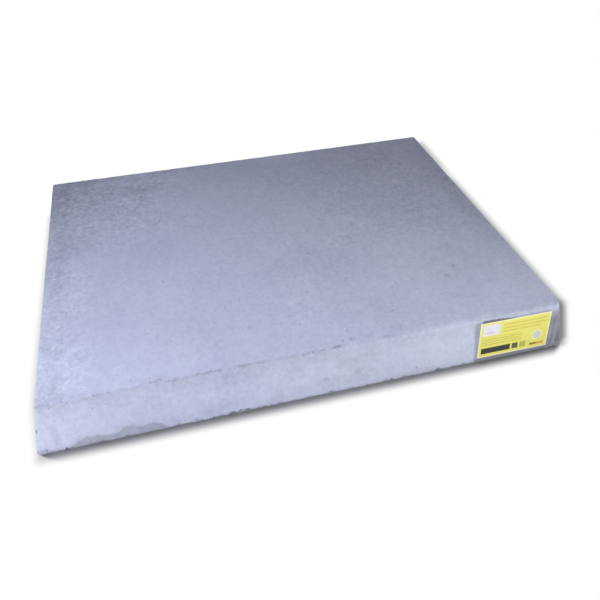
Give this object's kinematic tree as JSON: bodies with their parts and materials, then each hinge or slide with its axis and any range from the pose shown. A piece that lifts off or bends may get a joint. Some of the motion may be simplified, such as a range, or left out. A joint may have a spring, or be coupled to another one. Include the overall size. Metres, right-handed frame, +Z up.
{
  "type": "equipment pad",
  "caption": "Low rectangular slab of cast concrete with drafted sides and a label on one face, laid on the ground to carry an outdoor cooling unit level and clear of wet soil.",
  "frame": {"origin": "middle of the underside, on the ground", "axes": "+Z up out of the top face, +X along the longer side, and the face with the label looks along -Y"},
  "size_m": [1.016, 0.762, 0.1016],
  "materials": {
    "concrete": "steel-trowelled top and mould-faced sides, matt pale blue-grey, with fine pits, flecks and grey staining",
    "printed_label": "satin yellow printed label with a white border"
  },
  "bodies": {
    "root": {"pad": "concrete", "label": "printed_label"}
  },
  "joints": []
}
